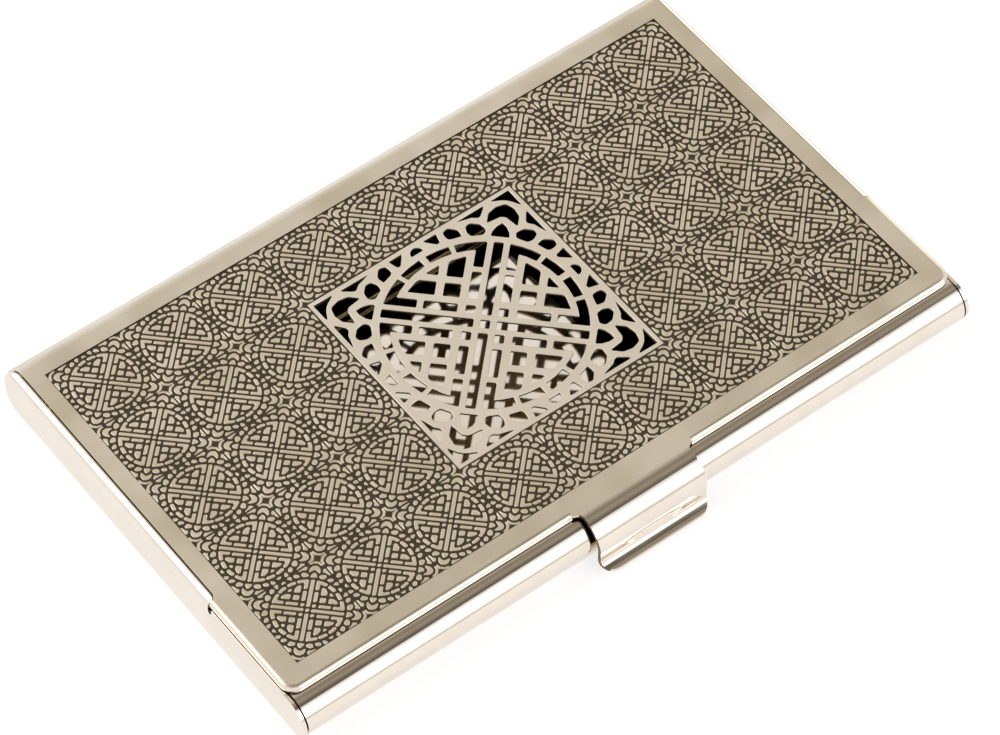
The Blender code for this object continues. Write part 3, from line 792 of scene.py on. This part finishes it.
def thumb_tab():
    """The tab as one closed body, wider at its root, rounded at its lip and dented along its groove."""
    front, back = tab_faces()
    lip = front[-1][0]
    across_steps = 60
    groove_middle = 0.0023
    groove_half_height = 0.0007
    groove_half_length = 0.0052
    groove_depth = 0.00022
    rows = []
    for face in (front, back):
        for y, z in face:
            into_corner = max(0.0, tab_corner_radius - (y - lip))
            from_root = min(tab_root_radius, max(0.0, lid_front - y))
            reach = tab_half_width - tab_corner_radius
            reach += math.sqrt(max(0.0, tab_corner_radius ** 2 - into_corner ** 2))
            reach += tab_root_radius - math.sqrt(tab_root_radius ** 2 - (tab_root_radius - from_root) ** 2)
            row = []
            for step in range(across_steps + 1):
                x = reach * (2 * step / across_steps - 1)
                off = ((z - groove_middle) / groove_half_height) ** 2 + (x / groove_half_length) ** 2
                dent = groove_depth * (0.5 + 0.5 * math.cos(math.pi * min(1.0, math.sqrt(off))))
                row.append((x, y + dent, z))
            rows.append(row)
    half = len(front)
    shape = bmesh.new()
    verts = [[shape.verts.new(point) for point in row] for row in rows]
    outline_rows = verts[:half] + list(reversed(verts[half:]))
    for row, next_row in zip(outline_rows, outline_rows[1:] + outline_rows[:1]):
        for step in range(across_steps):
            shape.faces.new((row[step], row[step + 1], next_row[step + 1], next_row[step]))
    for place in range(half - 1):
        for end in (0, -1):
            shape.faces.new((verts[place][end], verts[place + 1][end], verts[half + place + 1][end],
                             verts[half + place][end]))
    bmesh.ops.recalc_face_normals(shape, faces=shape.faces)
    return new_object("thumb_tab", mesh_from(shape, "thumb_tab"))


lid = joined(lid, thumb_tab())

# The hinge eye: the lid's rear edge rolled down round the pin, from a tongue in the flat sheet.
eye_faces = []
for height, radius, tongue_face in ((lid_top, hinge_drop, tongue[1::-1]),
                                    (lid_under, hinge_drop - sheet, tongue[2:])):
    eye_face = [(hinge_y - fit_gap - along, tongue_height) for along, tongue_height in tongue_face]
    eye_face += [(hinge_y - fit_gap, height)]
    eye_faces.append(eye_face + arc((hinge_y, hinge_z), radius, 90, 90 - eye_wrap_angle, 4 * arc_steps))
eye = slab("hinge_eye", [band(*eye_faces)], across_x, -wall_inside, wall_inside)
eye_halves = []
for rail_gap in (right_rail_gap, left_rail_gap):
    eye_halves.append([(rail_inside + rail_flare - rail_gap, spine_back + overrun)] + rail_edge(rail_gap))
eye_plan = slab("eye_plan", [eye_halves[0] + mirrored(eye_halves[1])], lying, 0, case_height + overrun)
lid = joined(lid, shaped_with(eye, eye_plan, "INTERSECT"))
lid = finished(lid, [mirror_nickel, satin_nickel, shaded_underside, sheared_edge])
satin_slot = 1
shaded_underside_slot = 2
edge_slot = 3
flat_enough = 0.9995
shoulder_limit = 0.6
cut_edge_limit = 0.6
for face in lid.data.polygons:
    aside = abs(face.center.x)
    back = face.center.y
    upward = face.normal.z
    above = face.center.z > lid_under + sheet / 2
    over_case = lid_front + sheet < back < hinge_y - fit_gap
    on_eye = back > hinge_y - fit_gap
    on_shoulder = aside > tab_half_width + tab_root_radius and upward > shoulder_limit
    if above and (upward > flat_enough or on_shoulder) or (on_eye and upward > 0):
        face.material_index = satin_slot
    # Faces under the lid over the case get the dark underside metal: its dark colour is painted shade for the
    # unlit inside.
    elif over_case and (not above or upward < -flat_enough) and aside < narrow_half_width:
        face.material_index = shaded_underside_slot
    elif back < lid_front and abs(face.normal.x) > cut_edge_limit and aside < tab_half_width + sheet:
        face.material_index = edge_slot
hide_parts("lid_shell")
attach(lid, "lid_body")

# Ornament plate
# A plate of nickel silver 0.3 mm thick. Its old-style roundel and lattice pattern is acid-etched and
# blackened round bright cells, and the large tile in its middle is etched right through.
etch_depth = 0.00004
slot_half_share = 0.018
row_one_shares = (0.0475, 0.083)
row_two_shares = (0.119, 0.181)
block_start_share = 0.218
bar_end_share = 0.25
elbow_start_share = 0.28
inner_round_share = 0.343
ring_shares = (0.374, 0.409)
elbow_turn = 25.0
dash_turns = (28.5, 42.6)
dome_shares = [(0.441, 0.035), (0.4625, 0.032), (0.49, 0.018), (0.507, 0)]
crescent_outer_shares = [(0.506, 0.06), (0.551, 0.06), (0.585, 0.037), (0.606, 0)]
crescent_inner_shares = [(0.542, 0.012), (0.512, 0.05)]
arrow_shares = [(0.675, 0), (0.61, 0.065), (0.6243, 0.0233), (0.6275, 0)]
bead_dome_shares = [(0.0275, 0.442), (0.021, 0.459), (0, 0.4725)]
small_bead_shares = [(0.1375, 0.423), (0.19, 0.407), (0.196, 0.4375), (0.167, 0.471), (0.142, 0.4625)]
big_bead_shares = [(0.221, 0.408), (0.223, 0.383), (0.267, 0.36), (0.2875, 0.375), (0.283, 0.408),
                   (0.254, 0.4375), (0.233, 0.433)]


def make_raised_nickel():
    """Nickel plate, lightly brushed: cream in this light, the cells between the etched lines."""
    cloud_size = 0.006
    line_spacing = 0.00008
    metal = new_metal("brushed_nickel_plate", [(0.35, "#D1C6AF"), (0.65, "#DCD2BE")], grain_size=cloud_size)
    vary_roughness(metal, 0.24, 0.38, grain_size=line_spacing, drawn_out=20)
    return metal


def make_panel_nickel():
    """Nickel plate on the pierced panel: the same satin as the frame, a little paler and cooler."""
    cloud_size = 0.005
    return new_metal("pale_satin_nickel_plate", [(0.35, "#E4DBCD"), (0.65, "#EAE2D5")], 0.30,
                     grain_size=cloud_size)


def make_blackened_ground():
    """Nickel silver, acid-etched and chemically blackened: dark olive brown, matt and slightly pitted."""
    pits = {"grain_size": 0.00015, "detail": 3.0}
    metal = new_metal("blackened_etched_nickel", [(0.35, "#473F35"), (0.7, "#5C5246")], **pits)
    vary_roughness(metal, 0.45, 0.7, **pits)
    return metal


def make_etched_wall():
    """Nickel silver, etched through and left unpolished: olive-brown hole walls with a dull shine."""
    bite_size = 0.0002
    return new_metal("etched_through_nickel", [(0.3, "#6E6044"), (0.7, "#93835F")], 0.38,
                     grain_size=bite_size)


raised_nickel = make_raised_nickel()
panel_nickel = make_panel_nickel()
blackened_ground = make_blackened_ground()
etched_wall = make_etched_wall()


def both_sides(points):
    """A cell that is the same on both sides of its arm, from the points on one side to its tip."""
    return points + [(along, -aside) for along, aside in reversed(points) if aside]


def on_round(radius, aside):
    """How far out a circle is reached at a distance aside from the arm."""
    return math.sqrt(radius * radius - aside * aside)


def arm_cells(corner_cell):
    """Cells on an arm and between two arms, once each, with the cell in the tile's corner given."""
    near, far = row_one_shares
    low, high = row_two_shares
    start = block_start_share
    slot_end = on_round(ring_shares[1], slot_half_share)
    round_reach = on_round(inner_round_share, start)
    crescent = both_sides(crescent_outer_shares)
    crescent += [(along, -aside) for along, aside in reversed(crescent_inner_shares)]
    crescent += crescent_inner_shares
    return [
        rectangle(near, slot_end, -slot_half_share, slot_half_share),
        both_sides(dome_shares),
        crescent,
        corner_cell,
        rectangle(near, far, near, far),
        rectangle(low, high, low, high),
        [(start, start), (round_reach, start), (start, round_reach)],
    ]


def side_cells():
    """Cells beside an arm, which repeat on its other side."""
    near, far = row_one_shares
    low, high = row_two_shares
    ring_in, ring_out = ring_shares
    near_turn = math.degrees(math.asin(near / ring_out))
    far_turn = math.degrees(math.asin(far / ring_in))
    centre = (0, 0)
    elbow = [(elbow_start_share, near)] + arc(centre, ring_out, near_turn, elbow_turn, 3)
    elbow += arc(centre, ring_in, elbow_turn, far_turn, 2) + [(elbow_start_share, far)]
    dash = arc(centre, ring_out, *dash_turns, 2) + arc(centre, ring_in, *reversed(dash_turns), 2)
    block = [(block_start_share, low), (on_round(inner_round_share, low), low),
             (on_round(inner_round_share, high), high), (block_start_share, high)]
    return [rectangle(low, bar_end_share, near, far), elbow, dash, block]


def edge_cells(edge_share):
    """Cells along half of a tile's side, cut off where the tile's edge line runs."""
    return [
        [(0.054, edge_share), (0.09, 0.433), (0.102, 0.433), (0.114, edge_share)],
        small_bead_shares,
        big_bead_shares,
        [(0.217, edge_share), (0.2375, 0.4695), (0.279, 0.458), (0.304, 0.4375), (0.354, edge_share)],
    ]


def turned(points, angle):
    """Points turned about the middle of the tile."""
    cosine, sine = math.cos(angle), math.sin(angle)
    return [(x * cosine - y * sine, x * sine + y * cosine) for x, y in points]


def tile_cells(edge_share, corner_cell):
    """Every cell of the tile: the ornament is alike on four arms and in each arm's mirror image."""
    middle = rectangle(-slot_half_share, slot_half_share, -slot_half_share, slot_half_share)
    cells = [turned(middle, math.pi / 4)]
    for quarter in range(4):
        straight = quarter * math.pi / 2
        diagonal = straight + math.pi / 4
        cells += [turned(cell, diagonal) for cell in arm_cells(corner_cell)]
        cells.append(turned(bead_dome_shares + mirrored(bead_dome_shares[:-1]), straight))
        for cell in side_cells():
            cells.append(turned(cell, diagonal))
            cells.append(turned([(x, -y) for x, y in cell], diagonal))
        for cell in edge_cells(edge_share):
            cells.append(turned(cell, straight))
            cells.append(turned(mirrored(cell), straight))
    return cells


def swollen(points, reach):
    """An outline moved outwards by a small distance all round."""
    sharpest = 0.35
    following = points[1:] + points[:1]
    turns = sum(x * next_y - next_x * y for (x, y), (next_x, next_y) in zip(points, following))
    side = math.copysign(reach, turns)
    moved = []
    for place, point in enumerate(points):
        here = Vector(point)
        before = (here - Vector(points[place - 1])).normalized()
        after = (Vector(following[place]) - here).normalized()
        out = Vector((before.y + after.y, -before.x - after.x))
        spread = max(out.length_squared / 2, sharpest)
        moved.append(tuple(here + out * side / spread))
    return moved


def soft_cornered(points, radius, steps=3):
    """An outline with its corners rounded as etching leaves them, blunt ones more than square ones."""
    nearly_straight = math.radians(155)
    blunt = math.radians(100)
    blunt_factor = 4.0
    most_of_side = 0.4
    least_slope = 0.01
    softened = []
    for place, point in enumerate(points):
        here = Vector(point)
        before = Vector(points[place - 1]) - here
        after = Vector(points[(place + 1) % len(points)]) - here
        turn = before.angle(after)
        if turn > nearly_straight:
            softened.append(point)
            continue
        rounding = radius * blunt_factor if turn > blunt else radius
        run = min(rounding / max(math.tan(turn / 2), least_slope), before.length * most_of_side,
                  after.length * most_of_side)
        start = here + before.normalized() * run
        end = here + after.normalized() * run
        for step in range(steps + 1):
            share = step / steps
            bent = (1 - share) ** 2 * start + 2 * share * (1 - share) * here + share ** 2 * end
            softened.append(tuple(bent))
    return softened


fret_edge_share = 0.475
fret_corner_share = 0.006
fret_growth_share = 0.0022
fret_edge_round = 0.00004
fret_border = 0.00012
fret_half = fret_side / 2 - fret_border
fret_outlines = [rectangle(-fret_half, fret_half, field_middle - fret_half, field_middle + fret_half)]
for cell in tile_cells(fret_edge_share, arrow_shares[:1] + both_sides(arrow_shares[1:])):
    rounded_cell = soft_cornered(swollen(cell, fret_growth_share), fret_corner_share)
    fret_outlines.append([(x * fret_side, field_middle + y * fret_side) for x, y in rounded_cell])
fret = slab("pierced_panel", fret_outlines, lying, inlay_top - inlay_thickness, inlay_top, fret_edge_round)
fret = finished(fret, [panel_nickel, etched_wall], smooth_below=60.0, keep_flats=False)
wall_slot = 1
wall_limit = 0.3
for face in fret.data.polygons:
    face.use_smooth = abs(face.normal.z) < flat_enough
    if face.normal.z < wall_limit:
        face.material_index = wall_slot
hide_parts("etched_plate")
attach(fret, "lid_body")

# The etched ground: the rest of the plate, let in just below the frame and eaten down between the cells.
ground_tuck = 0.0001
ground_hole = fret_half - ground_tuck
ground = slab("etched_ground", [
    rectangle(-field_length / 2, field_length / 2, field_front, field_back),
    rectangle(-ground_hole, ground_hole, field_middle - ground_hole, field_middle + ground_hole),
], lying, inlay_top - inlay_thickness, inlay_top - etch_depth)
ground = finished(ground, [blackened_ground])
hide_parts("etched_plate")
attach(ground, "lid_body")

# The raised cells: what the acid left standing, each with a slightly pillowed, bright face.
cell_sink = 0.00001
cell_crown = 0.00002
cell_slope = 0.00005
cell_slope_limit = 0.8
etched_motif_share = 1.01
etched_corner_share = 0.012
etched_growth_share = 0.003
etched_edge_share = 0.482
corner_tip_share = 0.677
corner_shares = [(0.621, 0.075), (0.607, 0.066), (0.648, 0)]


def tile_of_cells():
    """One tile's raised cells round the middle of the tile: a wall, a sloped shoulder and a flat face."""
    shape = bmesh.new()
    wall_low = inlay_top - etch_depth - cell_sink
    wall_high = inlay_top - cell_crown
    motif_side = etched_motif_share * tile_side
    for cell in tile_cells(etched_edge_share, [(corner_tip_share, 0)] + both_sides(corner_shares)):
        rounded = soft_cornered(swollen(cell, etched_growth_share), etched_corner_share, 1)
        low = [shape.verts.new((x * motif_side, y * motif_side, wall_low)) for x, y in rounded]
        high = [shape.verts.new((x * motif_side, y * motif_side, wall_high)) for x, y in rounded]
        for place in range(len(rounded)):
            following = (place + 1) % len(rounded)
            shape.faces.new((low[place], low[following], high[following], high[place]))
        shape.faces.new(list(reversed(low)))
        top = shape.faces.new(high)
        shape.normal_update()
        if top.normal.z < 0:
            top.normal_flip()
        shortest_side = min(side.calc_length() for side in top.edges)
        slope = min(cell_slope, cell_slope_limit * shortest_side)
        bmesh.ops.inset_individual(shape, faces=[top], thickness=slope, depth=0.0, use_even_offset=True)
        for corner in top.verts:
            corner.co.z = inlay_top
    bmesh.ops.recalc_face_normals(shape, faces=shape.faces)
    return mesh_from(shape, "one_tile")


def field_tree():
    """Geometry nodes that repeat the tile over the field and leave out the pierced tiles in its middle."""
    tree, given = new_tree("field_of_tiles", {
        "Tile": "Geometry", "Tiles along": "Int", "Tiles across": "Int", "Tile side": "Float",
        "Pierced side": "Float", "Field middle": "Vector", "Metal": "Material"}, "Field")
    sizes = []
    for name in ("Tiles along", "Tiles across"):
        gaps = add_node(tree, "ShaderNodeMath", {0: given.outputs[name], 1: 1.0}, operation="SUBTRACT")
        sizes.append(add_node(tree, "ShaderNodeMath", {0: gaps.outputs[0], 1: given.outputs["Tile side"]},
                              operation="MULTIPLY"))
    grid = add_node(tree, "GeometryNodeMeshGrid", {
        "Size X": sizes[0].outputs[0], "Size Y": sizes[1].outputs[0],
        "Vertices X": given.outputs["Tiles along"], "Vertices Y": given.outputs["Tiles across"]})
    position = add_node(tree, "GeometryNodeInputPosition")
    spot = add_node(tree, "ShaderNodeSeparateXYZ", {0: position.outputs[0]})
    half_hole = add_node(tree, "ShaderNodeMath", {0: given.outputs["Pierced side"], 1: 0.5},
                         operation="MULTIPLY")
    inside = []
    for axis_name in ("X", "Y"):
        away = add_node(tree, "ShaderNodeMath", {0: spot.outputs[axis_name]}, operation="ABSOLUTE")
        inside.append(add_node(tree, "ShaderNodeMath", {0: away.outputs[0], 1: half_hole.outputs[0]},
                               operation="LESS_THAN"))
    both = add_node(tree, "ShaderNodeMath", {0: inside[0].outputs[0], 1: inside[1].outputs[0]},
                    operation="MULTIPLY")
    kept = add_node(tree, "GeometryNodeDeleteGeometry", {0: grid.outputs[0], 1: both.outputs[0]},
                    domain="POINT")
    placed = add_node(tree, "GeometryNodeInstanceOnPoints", {
        "Points": kept.outputs[0], "Instance": given.outputs["Tile"]})
    moved = add_node(tree, "GeometryNodeTransform", {
        "Geometry": placed.outputs[0], "Translation": given.outputs["Field middle"]})
    end_tree(tree, moved.outputs[0], given.outputs["Metal"])
    return tree


raised_cells = grown("raised_cells", tile_of_cells(), field_tree(), {
    "Tiles along": tiles_along, "Tiles across": tiles_across, "Tile side": tile_side,
    "Pierced side": fret_side, "Field middle": (0, field_middle, 0), "Metal": raised_nickel})
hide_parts("etched_plate")
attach(raised_cells, "lid_body")
